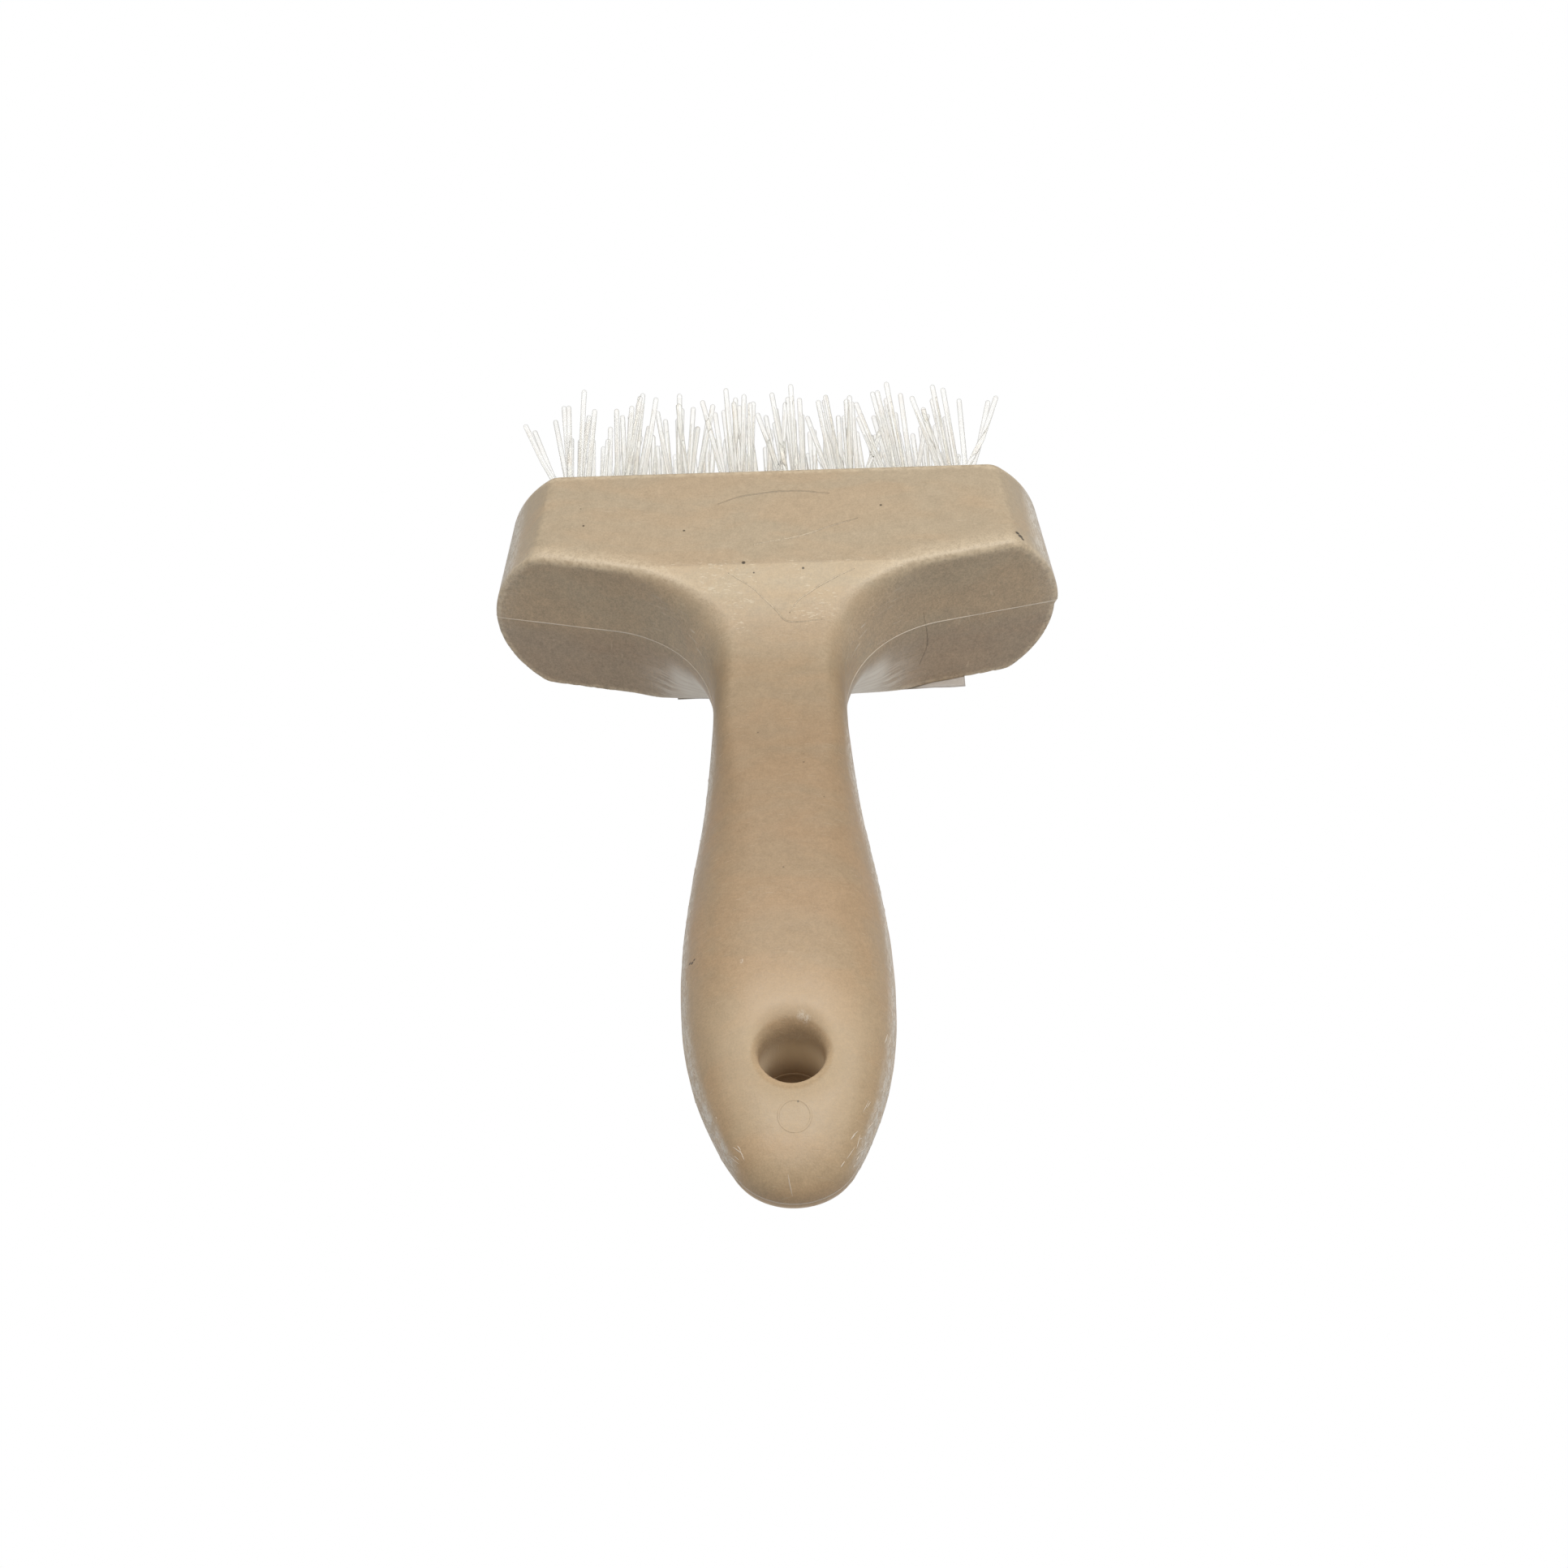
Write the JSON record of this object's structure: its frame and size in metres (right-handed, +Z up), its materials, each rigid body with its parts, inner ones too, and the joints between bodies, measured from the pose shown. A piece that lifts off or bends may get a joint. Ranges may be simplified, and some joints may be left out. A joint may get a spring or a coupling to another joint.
{
  "type": "pet grooming brush",
  "caption": "T-shaped hand brush for pets: one-piece plastic body, tufts of stiff clear nylon filament on the head's front face, hanging hole near the handle's end.",
  "frame": {"origin": "bottom centre of the whole brush's box, lying flat on its labelled side", "axes": "+Y the way the bristles point, from the handle's end to the tips; +Z up, the way the mould opens; +X along the head"},
  "size_m": [0.0802, 0.1404, 0.0247],
  "materials": {
    "body": "satin moulded foam plastic, beige, with faint flow marks",
    "filament": "translucent nylon filament with rounded tips",
    "anchor": "flattened wire",
    "label": "blank coated paper label"
  },
  "bodies": {
    "root": {"body": "body", "label": "label", "tuft_top_1": "filament", "anchor_top_1": "anchor", "tuft_top_2": "filament", "anchor_top_2": "anchor", "tuft_top_3": "filament", "anchor_top_3": "anchor", "tuft_top_4": "filament", "anchor_top_4": "anchor", "tuft_top_5": "filament", "anchor_top_5": "anchor", "tuft_top_6": "filament", "anchor_top_6": "anchor", "tuft_top_7": "filament", "anchor_top_7": "anchor", "tuft_top_8": "filament", "anchor_top_8": "anchor", "tuft_mid_1": "filament", "anchor_mid_1": "anchor", "tuft_mid_2": "filament", "anchor_mid_2": "anchor", "tuft_mid_3": "filament", "anchor_mid_3": "anchor", "tuft_mid_4": "filament", "anchor_mid_4": "anchor", "tuft_mid_5": "filament", "anchor_mid_5": "anchor", "tuft_mid_6": "filament", "anchor_mid_6": "anchor", "tuft_mid_7": "filament", "anchor_mid_7": "anchor", "tuft_low_1": "filament", "anchor_low_1": "anchor", "tuft_low_2": "filament", "anchor_low_2": "anchor", "tuft_low_3": "filament", "anchor_low_3": "anchor", "tuft_low_4": "filament", "anchor_low_4": "anchor", "tuft_low_5": "filament", "anchor_low_5": "anchor", "tuft_low_6": "filament", "anchor_low_6": "anchor", "tuft_low_7": "filament", "anchor_low_7": "anchor", "tuft_low_8": "filament", "anchor_low_8": "anchor"}
  },
  "joints": []
}
